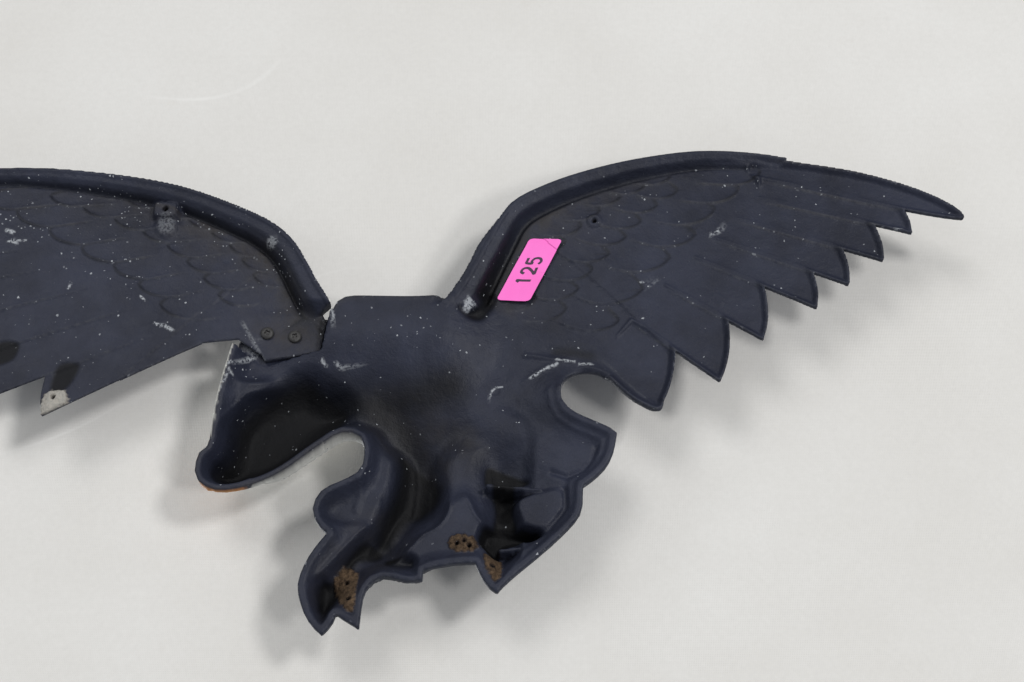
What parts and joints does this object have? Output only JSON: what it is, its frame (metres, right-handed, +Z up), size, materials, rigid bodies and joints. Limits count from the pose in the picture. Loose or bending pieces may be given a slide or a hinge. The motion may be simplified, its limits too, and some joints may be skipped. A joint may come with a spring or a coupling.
{
  "type": "cast eagle plaque",
  "caption": "Open-backed cast aluminium wall plaque of an eagle in flight, with one wing cast separately and screwed to the shoulder.",
  "frame": {"origin": "middle of the flat pad at the shoulders, on the back, in the plane of the wall", "axes": "+Z up as it hangs, +Y out of the back towards the wall, +X towards the tip of the screwed-on wing; the relief faces -Y"},
  "size_m": [0.9068, 0.0493, 0.3666],
  "materials": {
    "casting_paint": "satin",
    "screw_paint": "satin",
    "label_paper": "matte"
  },
  "bodies": {
    "root": {"body_casting": "casting_paint", "wing_casting": "casting_paint", "wing_screw_1": "screw_paint", "wing_screw_2": "screw_paint", "lot_label": "label_paper"}
  },
  "joints": []
}
